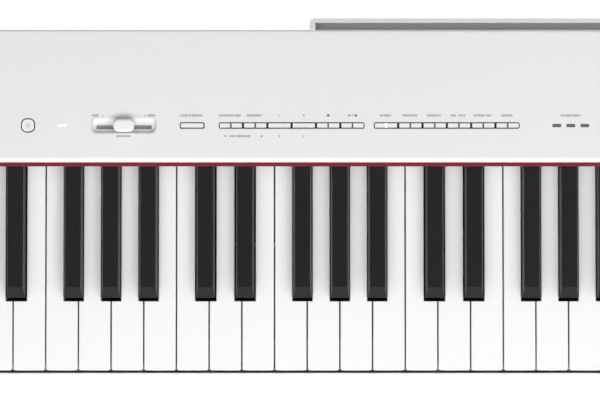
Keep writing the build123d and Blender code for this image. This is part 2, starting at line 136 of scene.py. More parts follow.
def noise(wire, place, scale, detail=3.0, stretch=(1, 1, 1)):
    """Noise on the object's own coordinates, finer along the axes with more stretch."""
    moved = wire.add("ShaderNodeMapping", Vector=place, Scale=stretch)
    return wire.add("ShaderNodeTexNoise", Vector=moved, Scale=scale, Detail=detail)


def tone(wire, mask, dark, light):
    """A colour between two, by a mask."""
    node = wire.tree.nodes.new("ShaderNodeMix")
    node.data_type = "RGBA"
    put(wire.tree, node, 0, mask)
    for socket, colour in ((6, dark), (7, light)):
        put(wire.tree, node, socket, colour if isinstance(colour, Wire) else (*colour, 1))
    return Wire(wire.tree, node.outputs[2])


def bump(wire, shader, height, distance, strength=1.0):
    """Relief of the given depth, in metres."""
    relief = wire.add("ShaderNodeBump", Height=height, Distance=distance, Strength=strength)
    put(wire.tree, shader, "Normal", relief)


def shades(colour, spread):
    """The same colour a little darker and a little lighter."""
    return [value * (1 - spread) for value in colour], [min(1, value * (1 + spread)) for value in colour]


def moulded_plastic(name, colour, roughness, grain=0.02, spread=0.012, coat=0.0):
    """Moulded plastic: a fine spark-eroded grain, faint flow marks and uneven gloss."""
    material, wire, shader, place = new_finish(name)
    flow = noise(wire, place, 9, 2)
    texture = noise(wire, place, 1800, 2)
    dark, light = shades(colour, spread)
    put(wire.tree, shader, "Base Color", tone(wire, flow, dark, light))
    put(wire.tree, shader, "Roughness", roughness - 0.04 + 0.08 * noise(wire, place, 60, 3))
    put(wire.tree, shader, "Coat Weight", coat)
    put(wire.tree, shader, "Coat Roughness", 0.08)
    bump(wire, shader, texture, grain * MM)
    return material


keyboard_middle = Vector((-0.25, -0.02, key_top))


def softbox(name, location, width, depth, power):
    """A rectangular soft box that faces the middle of the keyboard and isn't seen itself."""
    data = bpy.data.lights.new(name, "AREA")
    data.shape = "RECTANGLE"
    data.size = width
    data.size_y = depth
    data.energy = power
    lamp = bpy.data.objects.new(name, data)
    lamp.location = location
    lamp.rotation_euler = (keyboard_middle - Vector(location)).to_track_quat("-Z", "Y").to_euler()
    lamp.visible_camera = False
    bpy.context.collection.objects.link(lamp)


softbox("front_softbox", (-0.25, -1.5, 2.3), 2.2, 0.9, 43)
softbox("right_softbox", (1.4, -0.4, 2.9), 1.2, 1.6, 19)
softbox("left_softbox", (-1.9, -0.3, 2.9), 1.2, 1.6, 9.5)
softbox("rear_softbox", (0.4, 2.4, 0.5), 1.8, 0.4, 13)

world = bpy.data.worlds.new("studio_world")
world.use_nodes = True
sky = Wire(world.node_tree)
heading = sky.add("ShaderNodeSeparateXYZ", output=2, Vector=sky.add("ShaderNodeTexCoord"))
horizon = (heading > -0.06) * (heading < 0.12)
put(sky.tree, world.node_tree.nodes["Background"], "Color", (1, 1, 1, 1))
put(sky.tree, world.node_tree.nodes["Background"], "Strength", 0.22 + 0.78 * horizon)
bpy.context.scene.world = world

floor_reach = 60
floor_corners = [(-floor_reach, -floor_reach, 0), (floor_reach, -floor_reach, 0),
                 (floor_reach, floor_reach, 0), (-floor_reach, floor_reach, 0)]
floor_mesh = bpy.data.meshes.new("studio_floor")
floor_mesh.from_pydata(floor_corners, [], [(0, 1, 2, 3)])
studio_floor = bpy.data.objects.new("studio_floor", floor_mesh)
bpy.context.collection.objects.link(studio_floor)
floor_finish, floor_wire, floor_shader, floor_place = new_finish("floor_finish")
put(floor_wire.tree, floor_shader, "Base Color",
    tone(floor_wire, noise(floor_wire, floor_place, 3), (0.9, 0.9, 0.9), (0.93, 0.93, 0.93)))
put(floor_wire.tree, floor_shader, "Roughness", 0.7)
put(floor_wire.tree, floor_shader, "Emission Color", (1, 1, 1, 1))
put(floor_wire.tree, floor_shader, "Emission Strength", 0.8)
floor_mesh.materials.append(floor_finish)
studio_floor.visible_diffuse = False
studio_floor.visible_glossy = False


# ---------------------------------------------------------------------------------------------
# Stand panels. Two tapered side panels and a back board of chipboard, covered in white
# melamine laminate, with the edges banded and slightly rounded.
def merged_copy(node, name):
    """A copy of a CAD node's mesh with its loose triangles merged and flat faces joined."""
    mesh = frame["nodes"][node].data.copy()
    mesh.materials.clear()
    work = bmesh.new()
    work.from_mesh(mesh)
    bmesh.ops.remove_doubles(work, verts=work.verts, dist=0.002 * MM)
    bmesh.ops.dissolve_limit(work, angle_limit=math.radians(0.5), verts=work.verts, edges=work.edges)
    work.to_mesh(mesh)
    work.free()
    piece = bpy.data.objects.new(name, mesh)
    bpy.context.collection.objects.link(piece)
    return piece


def baked(piece):
    """Turns a piece's modifiers into a plain mesh."""
    solved = piece.evaluated_get(bpy.context.evaluated_depsgraph_get())
    mesh = bpy.data.meshes.new_from_object(solved)
    piece.modifiers.clear()
    piece.data = mesh
    return piece


def soften(piece, radius, segments=3, angle=35):
    """Rounds the sharp edges of a piece and keeps its flat faces evenly lit."""
    rounding = piece.modifiers.new("rounding", "BEVEL")
    rounding.width = radius
    rounding.segments = segments
    rounding.limit_method = "ANGLE"
    rounding.angle_limit = math.radians(angle)
    rounding.miter_outer = "MITER_ARC"
    for face in piece.data.polygons:
        face.use_smooth = True
    flat = piece.modifiers.new("flat_faces", "WEIGHTED_NORMAL")
    flat.keep_sharp = True
    flat.weight = 100
    return baked(piece)


def dress(piece, finish, slot_name, body, *nodes):
    """Gives a piece its finish, its body and the CAD nodes that it stands for. The slot name is not
    used.
    """
    piece.data.materials.clear()
    piece.data.materials.append(finish)
    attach(piece, body)
    if nodes:
        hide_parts(*nodes)
    return piece


def laminate(name, colour):
    """Melamine laminate: a very fine orange peel under a satin gloss."""
    material, wire, shader, place = new_finish(name)
    dark, light = shades(colour, 0.01)
    put(wire.tree, shader, "Base Color", tone(wire, noise(wire, place, 14), dark, light))
    put(wire.tree, shader, "Roughness", 0.3 + 0.1 * noise(wire, place, 40))
    bump(wire, shader, noise(wire, place, 420, 4), 0.03 * MM)
    return material


laminate_finish = laminate("white_laminate", (0.8, 0.8, 0.79))
for panel_name in ("left_side_panel", "right_side_panel", "back_board"):
    board = soften(merged_copy(panel_name, f"{panel_name}_board"), 1.5 * MM)
    dress(board, laminate_finish, "stand_board", "piano", panel_name)


# ---------------------------------------------------------------------------------------------
# Bolts, glides and feet. Zinc-plated socket screws hold the back board, plated ribbed knobs pull
# the piano down on its cleats, and moulded rubber feet and glides carry the weight.
def lathe(name, profile, sides=32):
    """A closed solid turned about Z from (radius, height) points, with its poles closed."""
    work = bmesh.new()
    rings = []
    for radius, height in profile:
        if radius == 0:
            rings.append([work.verts.new((0, 0, height))])
        else:
            turns = [2 * math.pi * k / sides for k in range(sides)]
            rings.append([work.verts.new((radius * math.cos(turn), radius * math.sin(turn), height))
                          for turn in turns])
    for lower, upper in zip(rings, rings[1:]):
        for k in range(sides):
            quad = [lower[k % len(lower)], lower[(k + 1) % len(lower)],
                    upper[(k + 1) % len(upper)], upper[k % len(upper)]]
            work.faces.new(list(dict.fromkeys(quad)))
    bmesh.ops.recalc_face_normals(work, faces=work.faces)
    mesh = bpy.data.meshes.new(name)
    work.to_mesh(mesh)
    work.free()
    for face in mesh.polygons:
        face.use_smooth = True
    mesh.set_sharp_from_angle(angle=math.radians(40))
    return mesh


def new_tree(name, *inputs):
    """A Geometry Nodes tree with these named inputs: its wires by name, and a call that ends it."""
    tree = bpy.data.node_groups.new(name, "GeometryNodeTree")
    for label, kind in inputs:
        tree.interface.new_socket(label, in_out="INPUT", socket_type=f"NodeSocket{kind}")
    tree.interface.new_socket("Result", in_out="OUTPUT", socket_type="NodeSocketGeometry")
    given = tree.nodes.new("NodeGroupInput")
    return tree, {socket.name: Wire(tree, socket) for socket in given.outputs if socket.name}


def end_tree(tree, instances, finish):
    """Makes the instances real, gives them their finish, and sends them out."""
    real = instances.add("GeometryNodeRealizeInstances", Geometry=instances)
    done = real.add("GeometryNodeSetMaterial", Geometry=real, Material=finish)
    put(tree, tree.nodes.new("NodeGroupOutput"), "Result", done)


def run_tree(name, tree, start_mesh=None, **inputs):
    """A plain mesh object made by a Geometry Nodes tree with these inputs."""
    piece = bpy.data.objects.new(name, start_mesh or bpy.data.meshes.new(name))
    bpy.context.collection.objects.link(piece)
    modifier = piece.modifiers.new("nodes", "NODES")
    modifier.node_group = tree
    sockets = {item.name: item.identifier for item in tree.interface.items_tree
               if item.in_out == "INPUT"}
    for label, value in inputs.items():
        modifier[sockets[label]] = value
    return baked(piece)


copies_tree, given = new_tree("copies_on_points", ("Points", "Geometry"), ("Pattern", "Object"),
                              ("Turn", "Rotation"), ("Finish", "Material"))
pattern = given["Points"].add("GeometryNodeObjectInfo", output=4, Object=given["Pattern"])
placed = pattern.add("GeometryNodeInstanceOnPoints", Points=given["Points"], Instance=pattern,
                     Rotation=given["Turn"])
end_tree(copies_tree, placed, given["Finish"])


def copies(name, pattern_mesh, places, finish, turn=(0, 0, 0)):
    """Copies of a small mesh at these places, as one piece."""
    pattern = bpy.data.objects.new(f"{name}_pattern", pattern_mesh)
    bpy.context.collection.objects.link(pattern)
    points = bpy.data.meshes.new(f"{name}_points")
    points.from_pydata([tuple(place) for place in places], [], [])
    piece = run_tree(name, copies_tree, points, Pattern=pattern, Turn=turn, Finish=finish)
    bpy.data.objects.remove(pattern)
    return piece


def corner_places(node, radius, height):
    """The four corners of a node's box, a radius in from its sides."""
    low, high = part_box(node)
    return [(x, y, height) for x in (low.x + radius, high.x - radius)
            for y in (low.y + radius, high.y - radius)]


def plated_steel(name, colour, roughness):
    """Zinc-plated steel, faintly cloudy."""
    material, wire, shader, place = new_finish(name)
    dark, light = shades(colour, 0.08)
    put(wire.tree, shader, "Base Color", tone(wire, noise(wire, place, 180), dark, light))
    put(wire.tree, shader, "Metallic", 1.0)
    put(wire.tree, shader, "Roughness", roughness + 0.12 * noise(wire, place, 500))
    bump(wire, shader, noise(wire, place, 2500), 0.004 * MM)
    return material


def rubber(name, colour):
    """Matt rubber with a slightly open skin."""
    material, wire, shader, place = new_finish(name)
    dark, light = shades(colour, 0.2)
    put(wire.tree, shader, "Base Color", tone(wire, noise(wire, place, 300), dark, light))
    put(wire.tree, shader, "Roughness", 0.7 + 0.2 * noise(wire, place, 700))
    bump(wire, shader, noise(wire, place, 1500), 0.05 * MM)
    return material


zinc_finish = plated_steel("zinc_plating", (0.62, 0.62, 0.63), 0.28)
rubber_finish = rubber("black_rubber", (0.05, 0.05, 0.05))
glide_radius, foot_radius = 9 * MM, 11 * MM
for foot_node, radius in (("floor_glides", glide_radius), ("rubber_feet", foot_radius)):
    low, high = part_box(foot_node)
    tall = high.z - low.z
    profile = [(0, 0), (radius * 0.86, 0), (radius * 0.97, 0.06 * radius), (radius, 0.2 * radius),
               (radius, tall * 0.8), (radius * 0.94, tall), (0, tall)]
    turned = lathe(f"{foot_node}_turned", profile)
    feet = copies(f"{foot_node}_turned", turned, corner_places(foot_node, radius, low.z), rubber_finish)
    dress(feet, rubber_finish, "foot_rubber", "piano", foot_node)

# A socket screw has a shallow round recess in a rounded head, and a plain shank with a chamfer.
cross_profile = [(0, 0.6), (3.2, 0.6), (3.2, 0), (5.6, 0), (6.7, 0.4), (7, 1.1), (7, 3), (3.5, 3),
                 (3.5, 49), (2.5, 50), (0, 50)]
cross_mesh = lathe("cross_bolt", [(radius * MM, height * MM) for radius, height in cross_profile], 24)
cross_inset = 50 * MM
board_low, board_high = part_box("back_board")
cross_y = (board_low.y + board_high.y) / 2
cross_heights = (board_low.z + cross_inset, board_high.z - cross_inset)
bolt_low, bolt_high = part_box("stand_bolts")
bolt_sets = []
for side, x, turn in (("left", bolt_low.x, math.pi / 2), ("right", bolt_high.x, -math.pi / 2)):
    places = [(x, cross_y, z) for z in cross_heights]
    bolt_sets.append(copies(f"{side}_cross_bolts", cross_mesh, places, zinc_finish, (0, turn, 0)))

# A clamp knob is a nine-lobed grip with a long plain shank that goes up into the case.
grip_radius, grip_height, lobes, lobe_depth = 11 * MM, 8 * MM, 9, 0.09
shank_radius, shank_tip, chamfer = 3 * MM, 47 * MM, 0.5 * MM
knob_profile = [(0, 0), (grip_radius * 0.8, 0), (grip_radius * 0.96, MM), (grip_radius, 2.4 * MM),
                (grip_radius, 6.6 * MM), (grip_radius * 0.9, grip_height), (shank_radius, grip_height),
                (shank_radius, shank_tip - chamfer), (shank_radius - chamfer, shank_tip), (0, shank_tip)]
knob_mesh = lathe("clamp_knob", knob_profile, 72)
for vert in knob_mesh.vertices:
    if math.hypot(vert.co.x, vert.co.y) > 0.7 * grip_radius:
        wave = 0.5 + 0.5 * math.cos(lobes * math.atan2(vert.co.y, vert.co.x))
        dip = 1 - lobe_depth * wave ** 2
        vert.co.x, vert.co.y = vert.co.x * dip, vert.co.y * dip
feet_low, feet_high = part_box("rubber_feet")
clamp_x = feet_high.x - foot_radius
clamp_y = 50 * MM
cleat_height = 25 * MM
clamp_z = feet_low.z - cleat_height - grip_height
clamp_places = [(side * clamp_x, along * clamp_y, clamp_z) for side in (-1, 1) for along in (-1, 1)]
bolt_sets.append(copies("clamp_knobs", knob_mesh, clamp_places, zinc_finish))
for bolt_set in bolt_sets:
    dress(bolt_set, zinc_finish, "plated_steel", "piano", "stand_bolts")


# ---------------------------------------------------------------------------------------------
# Bottom case. A moulded tray in white plastic, coarser than the top, closed from below by
# pan-head screws.
case_white = moulded_plastic("case_white", (0.8, 0.8, 0.8), 0.42, grain=0.05)
tray = soften(merged_copy("bottom_case", "bottom_case_tray"), 1.2 * MM)
dress(tray, case_white, "case_plastic", "piano", "bottom_case")

head_radius, shank_radius = 3.5 * MM, 1.5 * MM
screw_profile = [(0, 0.9 * MM), (0.9 * MM, 0.9 * MM), (1.1 * MM, 0.1 * MM), (2 * MM, 0.15 * MM),
                 (3.1 * MM, 0.6 * MM), (head_radius, 1.4 * MM), (head_radius, 2 * MM),
                 (shank_radius, 2 * MM), (shank_radius, 10 * MM), (0, 10.5 * MM)]
screw_mesh = lathe("case_screw", screw_profile, 20)
screw_low, screw_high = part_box("case_screws")
screw_rows = (screw_low.y + head_radius, screw_high.y - head_radius)
first_x, last_x = screw_low.x + head_radius, screw_high.x - head_radius
screw_pitch = (last_x - first_x) / 3
screw_places = [(first_x + screw_pitch * place, y, screw_low.z)
                for place in range(4) for y in screw_rows]
screws = copies("case_screw_set", screw_mesh, screw_places, zinc_finish)
dress(screws, zinc_finish, "plated_steel", "piano", "case_screws")


# ---------------------------------------------------------------------------------------------
# Action. Folded steel frame, pivot bars, weighted hammers, felts, boards and speakers, all
# hidden inside the case. The CAD solids stay and get the finish of the real material.
def wool_felt(name, colour, fibre=1400):
    """Pressed wool felt: short crossing fibres in several shades."""
    material, wire, shader, place = new_finish(name)
    fibres = noise(wire, place, fibre, 6, (0.35, 1, 1))
    clumps = noise(wire, place, 260, 4)
    dark, light = shades(colour, 0.35)
    put(wire.tree, shader, "Base Color", tone(wire, 0.6 * fibres + 0.4 * clumps, dark, light))
    put(wire.tree, shader, "Roughness", 0.95)
    put(wire.tree, shader, "Sheen Weight", 0.08)
    bump(wire, shader, fibres + clumps, 0.15 * MM)
    return material


def coated_steel(name, colour):
    """Steel under a thin dark coat."""
    material, wire, shader, place = new_finish(name)
    dark, light = shades(colour, 0.15)
    put(wire.tree, shader, "Base Color", tone(wire, noise(wire, place, 90), dark, light))
    put(wire.tree, shader, "Metallic", 0.6)
    put(wire.tree, shader, "Roughness", 0.4 + 0.2 * noise(wire, place, 240))
    bump(wire, shader, noise(wire, place, 900), 0.02 * MM)
    return material


def circuit_board(name):
    """Very dark green solder mask over copper tracks."""
    material, wire, shader, place = new_finish(name)
    tracks = wire.add("ShaderNodeTexBrick", {"offset": 0.5}, 1, Vector=place, Scale=90.0,
                      Mortar_Size=0.03)
    put(wire.tree, shader, "Base Color", tone(wire, tracks, (0.012, 0.022, 0.015), (0.02, 0.035, 0.024)))
    put(wire.tree, shader, "Roughness", 0.3 + 0.1 * noise(wire, place, 400))
    bump(wire, shader, tracks, 0.03 * MM)
    return material


def refinish(node, finish):
    """A CAD node that keeps its shape gets a real finish."""
    slots = frame["nodes"][node].material_slots
    if not slots:
        frame["nodes"][node].data.materials.append(finish)
    for slot in slots:
        slot.material = finish


frame_coat = coated_steel("frame_coat", (0.12, 0.12, 0.125))
hammer_coat = coated_steel("hammer_coat", (0.05, 0.05, 0.055))
refinish("key_frame", frame_coat)
refinish("speakers", coated_steel("speaker_black", (0.03, 0.03, 0.03)))
refinish("pivot_bars", zinc_finish)
refinish("stop_felts", wool_felt("grey_felt", (0.25, 0.25, 0.25)))
refinish("circuit_boards", circuit_board("solder_mask"))
notes = [node[:-len("_keys")] for node in frame["nodes"] if node.endswith("_keys")]
for note in notes:
    refinish(f"{note}_hammers", hammer_coat)


# ---------------------------------------------------------------------------------------------
# Top shells. The control panel with its rear wall, the two end cheeks and the key slip are
# moulded in white. The panel's flat top is painted a slightly greyer satin as shade, and its bevel
# and the key slip are painted whiter as the light from the front. The groove for a music rest
# behind it is painted grey as shade, darker further down.
def inside(wire, value, low, high):
    """A mask that is 1 where a value lies between two others."""
    return (value > low) * (value < high)


# How far below a flat top the painted shade of cap flanks and button holes begins, and the top's own
# grey ends.
shade_line_drop = 0.025 * MM
# How far down the groove's painted shade turns darker.
groove_shade = 5 * MM


def panel_painted_light(name, top_height, row_front, row_rear, groove_front):
    """Painted light and shade: a greyer flat top, a whiter bevel below it, near black in the button
    holes, and grey in the groove, darker lower down.
    """
    material, wire, shader, place = new_finish(name)
    height = wire.add("ShaderNodeSeparateXYZ", output=2, Vector=place)
    along = wire.add("ShaderNodeSeparateXYZ", output=1, Vector=place)
    flow = noise(wire, place, 7, 2)
    # The flat top's greyer white is painted shade, against the whiter bevel below it.
    top_painted_shade = tone(wire, flow, (0.8, 0.8, 0.805), (0.82, 0.82, 0.825))
    # Below the top the bevel is painted whiter as light, and the button holes near black as painted
    # shade.
    bevel_light_and_hole_shade = tone(wire, inside(wire, along, row_front, row_rear), (0.9, 0.9, 0.9), (0.07, 0.07, 0.07))
    shell = tone(wire, height > top_height - shade_line_drop, bevel_light_and_hole_shade, top_painted_shade)
    # The groove behind the panel is painted grey as shade, darker from five millimetres down.
    groove_painted_shade = tone(wire, height > top_height - groove_shade, (0.42, 0.42, 0.42), (0.67, 0.67, 0.67))
    put(wire.tree, shader, "Base Color", tone(wire, along > groove_front, shell, groove_painted_shade))
    put(wire.tree, shader, "Roughness", 0.34 + 0.06 * noise(wire, place, 70))
    bump(wire, shader, noise(wire, place, 1600, 2), 0.01 * MM)
    return material


def round_edges(piece, radius, on_edge):
    """Rounds the sharp edges of a piece whose two ends pass a test."""
    work = bmesh.new()
    work.from_mesh(piece.data)
    edges = [edge for edge in work.edges
             if edge.calc_face_angle(0) > 0.5 and all(on_edge(vert.co) for vert in edge.verts)]
    bmesh.ops.bevel(work, geom=edges, offset=radius, segments=5, profile=0.5, affect="EDGES")
    work.to_mesh(piece.data)
    work.free()


panel_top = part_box("lamps")[1].z
button_low, button_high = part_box("power_button")
row_front, row_rear = button_low.y - MM, button_high.y + MM
rear_edge_y = 129 * MM
rear_rounding, hole_rounding, touch = 2 * MM, 0.2 * MM, 0.01 * MM
panel_finish = panel_painted_light("panel_painted_light", panel_top, row_front, row_rear, rear_edge_y + 0.05 * MM)
panel = merged_copy("top_panel", "control_panel")
round_edges(panel, rear_rounding,
            lambda co: abs(co.y - rear_edge_y) < touch and co.z > panel_top - touch)
round_edges(panel, hole_rounding,
            lambda co: abs(co.z - panel_top) < touch and row_front < co.y < row_rear)
soften(panel, 0.25 * MM, 2)
dress(panel, panel_finish, "case_plastic", "piano", "top_panel")

# The key slip and cheeks get a whiter copy of the case plastic: painted light from the front.
lit_shell_white = moulded_plastic("lit_shell_white", (0.9, 0.9, 0.9), 0.3)
cheeks = soften(merged_copy("end_cheeks", "end_cheek_shells"), 2.5 * MM)
dress(cheeks, lit_shell_white, "case_plastic", "piano", "end_cheeks")

slip_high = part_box("key_slip")[1]
slip_rounding = 1.9 * MM
slip = merged_copy("key_slip", "key_slip_rail")
round_edges(slip, slip_rounding, lambda co: co.y > slip_high.y - touch and co.z > slip_high.z - touch)
soften(slip, 0.3 * MM, 2)
dress(slip, lit_shell_white, "case_plastic", "piano", "key_slip")


# ---------------------------------------------------------------------------------------------
# Felt strip. Dark red wool felt, cut square and glued under the front of the panel. It hides the
# gap over the keys and keeps their tails from knocking.
red_felt = wool_felt("red_felt", (0.16, 0.008, 0.009))
strip = merged_copy("felt_strip", "red_felt_strip")
work = bmesh.new()
work.from_mesh(strip.data)
long_edges = [edge for edge in work.edges if edge.calc_length() > 0.5]
bmesh.ops.subdivide_edges(work, edges=long_edges, cuts=260)
bmesh.ops.triangulate(work, faces=[face for face in work.faces if len(face.verts) > 4])
work.to_mesh(strip.data)
work.free()
soften(strip, 0.5 * MM, 2)
dress(strip, red_felt, "red_felt", "piano", "felt_strip")


# ---------------------------------------------------------------------------------------------
# Naturals. Each white key is moulded in one glossy plastic, with a thin overhanging lip at the
# front, rounded front corners and softly rounded long edges.
def key_edges(work, chosen, radius, segments):
    """Rounds the chosen edges of a key."""
    edges = [edge for edge in work.edges if chosen(*[vert.co for vert in edge.verts])]
    bmesh.ops.bevel(work, geom=edges, offset=radius, segments=segments, profile=0.5, affect="EDGES",
                    clamp_overlap=True)


def close_to(value, target):
    """Whether two measures agree to a twentieth of a millimetre."""
    return abs(value - target) < 0.05 * MM


def ivory_plastic(name):
    """White acrylic: clear gloss and faint cloudiness, its gloss varying a little at random."""
    material, wire, shader, place = new_finish(name)
    cloud = noise(wire, place, 22, 3)
    put(wire.tree, shader, "Base Color", tone(wire, cloud, (0.897, 0.892, 0.887), (0.903, 0.898, 0.893)))
    put(wire.tree, shader, "Roughness", 0.25 + 0.03 * noise(wire, place, 35))
    bump(wire, shader, noise(wire, place, 900, 2), 0.004 * MM)
    return material


natural_finish = ivory_plastic("natural_acrylic")
lip_thickness, lip_overhang, lip_reach, lip_step = 2.6 * MM, 0.9 * MM, 0.3 * MM, 0.3 * MM
corner_rounding, edge_rounding = 1.5 * MM, 0.6 * MM
for note in [note for note in notes if "sharp" not in note]:
    low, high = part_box(f"{note}_keys")
    keys = merged_copy(f"{note}_keys", f"natural_keys_{note}")
    work = bmesh.new()
    work.from_mesh(keys.data)
    for drop in (lip_thickness, lip_thickness + lip_step):
        bmesh.ops.bisect_plane(work, geom=work.verts[:] + work.edges[:] + work.faces[:],
                               plane_co=(0, 0, high.z - drop), plane_no=(0, 0, 1), dist=0.001 * MM)
    for vert in work.verts:
        if close_to(vert.co.y, low.y):
            vert.co.y += lip_overhang if vert.co.z < high.z - lip_thickness - 0.1 * MM else -lip_reach
    key_edges(work, lambda a, b: close_to(a.y, low.y - lip_reach) and close_to(b.y, low.y - lip_reach)
              and close_to(a.x, b.x), corner_rounding, 4)
    key_edges(work, lambda a, b: close_to(a.z, high.z) and close_to(b.z, high.z), edge_rounding, 3)
    work.to_mesh(keys.data)
    work.free()
    soften(keys, 0.15 * MM, 1, 50)
    dress(keys, natural_finish, "natural_plastic", f"{note}_keys", f"{note}_keys")


# ---------------------------------------------------------------------------------------------
# Sharps. Black keys with tapered sides and a sloping nose, moulded with a matt ebony grain.
def ebony_plastic(name):
    """Matt black with a fine lengthwise grain."""
    material, wire, shader, place = new_finish(name)
    grain = noise(wire, place, 500, 5, (1, 0.05, 1))
    put(wire.tree, shader, "Base Color", tone(wire, grain, (0.006, 0.006, 0.006), (0.011, 0.011, 0.011)))
    put(wire.tree, shader, "Roughness", 0.36 + 0.14 * noise(wire, place, 45))
    put(wire.tree, shader, "Specular IOR Level", 0.25)
    bump(wire, shader, grain, 0.012 * MM)
    return material


sharp_finish = ebony_plastic("sharp_ebony")
sharp_rounding = 0.45 * MM
for note in [note for note in notes if "sharp" in note]:
    keys = merged_copy(f"{note}_keys", f"sharp_keys_{note}")
    soften(keys, sharp_rounding, 3, 20)
    dress(keys, sharp_finish, "sharp_plastic", f"{note}_keys", f"{note}_keys")


# ---------------------------------------------------------------------------------------------
# Push buttons. Small caps in white plastic that stand a little above the panel. Ten of them
# have a narrow smoked light pipe across the middle, and the first voice's is lit.
def cap_plastic(name, top_height):
    """Pale satin caps, with near-black flanks as painted shade in the gaps round them."""
    material, wire, shader, place = new_finish(name)
    height = wire.add("ShaderNodeSeparateXYZ", output=2, Vector=place)
    face = tone(wire, noise(wire, place, 30, 2), (0.83, 0.83, 0.835), (0.845, 0.845, 0.85))
    # Below the face the flanks are near black: painted shade in the gaps round the cap.
    on_face = height > top_height - shade_line_drop
    put(wire.tree, shader, "Base Color", tone(wire, on_face, (0.07, 0.07, 0.07), face))
    put(wire.tree, shader, "Roughness", 0.34 + 0.08 * noise(wire, place, 60))
    bump(wire, shader, noise(wire, place, 1800, 2), 0.01 * MM)
    return material


cap_finish = cap_plastic("button_caps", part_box("song_button")[1].z)
power_cap_finish = cap_plastic("power_button_cap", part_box("power_button")[1].z)


def lens_plastic(name, colour, glow=0.0):
    """A light pipe's smooth window, smoked or lit."""
    material, wire, shader, place = new_finish(name)
    dark, light = shades(colour, 0.06)
    put(wire.tree, shader, "Base Color", tone(wire, noise(wire, place, 800), dark, light))
    put(wire.tree, shader, "Roughness", 0.25)
    put(wire.tree, shader, "Emission Color", (1, 1, 1, 1))
    put(wire.tree, shader, "Emission Strength", glow)
    bump(wire, shader, noise(wire, place, 1200), 0.01 * MM)
    return material


smoked_lens = lens_plastic("smoked_lens", (0.13, 0.13, 0.14))
lit_lens = lens_plastic("lit_lens", (0.95, 0.95, 0.95), 0.8)
lens_width, lens_margin, lens_depth, lens_proud = 1.2 * MM, 1.3 * MM, MM, 0.03 * MM


def slab(name, low, high):
    """A thin rectangular block between two corners."""
    mesh = bpy.data.meshes.new(name)
    work = bmesh.new()
    bmesh.ops.create_cube(work, size=1)
    low, high = Vector(low), Vector(high)
    size = high - low
    bmesh.ops.scale(work, vec=size, verts=work.verts)
    bmesh.ops.translate(work, vec=(low + high) / 2, verts=work.verts)
    work.to_mesh(mesh)
    work.free()
    piece = bpy.data.objects.new(name, mesh)
    bpy.context.collection.objects.link(piece)
    return piece


cap_rounding = 0.3 * MM
unlit = ("power_button", "song_button", "minus_button", "plus_button")
for node in [node for node in frame["nodes"] if node.endswith("_button")]:
    low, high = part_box(node)
    middle = (low + high) / 2
    cap = merged_copy(node, f"{node}_cap")
    round_edges(cap, cap_rounding, lambda co: abs(co.z - high.z) < touch)
    soften(cap, 0.1 * MM, 2, 50)
    dress(cap, power_cap_finish if node == "power_button" else cap_finish, "button_plastic", node, node)
    if node not in unlit:
        lens_low = (middle.x - lens_width / 2, low.y + lens_margin, high.z - lens_depth)
        lens_high = (middle.x + lens_width / 2, high.y - lens_margin, high.z + lens_proud)
        lens = slab(f"{node}_lens", lens_low, lens_high)
        dress(lens, lit_lens if node.startswith("grand") else smoked_lens, "lamp_plastic", node)


# The power sign is printed on its cap in grey: a ring open at the top, with a short upright bar.
power_low, power_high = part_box("power_button")
power_middle = (power_low + power_high) / 2
sign_radius, sign_line, sign_steps = 1.35 * MM, 0.3 * MM, 24
sign_gap = math.radians(38)
sign_sweep = 2 * math.pi - 2 * sign_gap
sign_base, sign_top = power_high.z, power_high.z + 0.03 * MM
sign_section = ((sign_radius, sign_base), (sign_radius, sign_top), (sign_radius - sign_line, sign_top),
                (sign_radius - sign_line, sign_base))
arc = bmesh.new()
corners = []
for k in range(sign_steps + 1):
    turn = math.pi / 2 + sign_gap + sign_sweep * k / sign_steps
    corners.append([arc.verts.new((power_middle.x + radius * math.cos(turn),
                                   power_middle.y + radius * math.sin(turn), z))
                    for radius, z in sign_section])
for here, there in zip(corners, corners[1:]):
    for k in range(4):
        arc.faces.new((here[k], here[(k + 1) % 4], there[(k + 1) % 4], there[k]))
arc.faces.new(corners[0])
arc.faces.new(corners[-1])
bmesh.ops.recalc_face_normals(arc, faces=arc.faces)
sign_mesh = bpy.data.meshes.new("power_sign")
arc.to_mesh(sign_mesh)
arc.free()
sign = bpy.data.objects.new("power_sign", sign_mesh)
bpy.context.collection.objects.link(sign)
grey_print = moulded_plastic("grey_print", (0.3, 0.3, 0.3), 0.6, grain=0.002)
dress(sign, grey_print, "trim_plastic", "power_button")
bar_low, bar_high = power_middle.y + 0.3 * MM, power_middle.y + 1.6 * MM
sign_bar = slab("power_sign_bar", (power_middle.x - sign_line / 2, bar_low, sign_base),
                (power_middle.x + sign_line / 2, bar_high, sign_top))
dress(sign_bar, grey_print, "trim_plastic", "power_button")


# ---------------------------------------------------------------------------------------------
# Lamps. Flush light pipes in the panel: the power lamp glows white, the three variation lamps
# are off and look dark grey.
def part_of(node, name, keep):
    """The separate solids of a CAD node whose corners pass a test, as a piece of their own."""
    piece = merged_copy(node, name)
    work = bmesh.new()
    work.from_mesh(piece.data)
    unwanted = [vert for vert in work.verts if not keep(vert.co)]
    bmesh.ops.delete(work, geom=unwanted, context="VERTS")
    work.to_mesh(piece.data)
    work.free()
    return piece


lamp_low, lamp_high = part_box("lamps")
lamp_split = (lamp_low.x + lamp_high.x) / 2
lens_rounding = 0.15 * MM
power_lamp = part_of("lamps", "power_lamp_lens", lambda co: co.x < lamp_split)
soften(power_lamp, lens_rounding, 2)
dress(power_lamp, lit_lens, "lamp_plastic", "piano", "lamps")
variation_lamps = part_of("lamps", "variation_lamp_lenses", lambda co: co.x > lamp_split)
soften(variation_lamps, lens_rounding, 2)
dress(variation_lamps, smoked_lens, "lamp_plastic", "piano", "lamps")


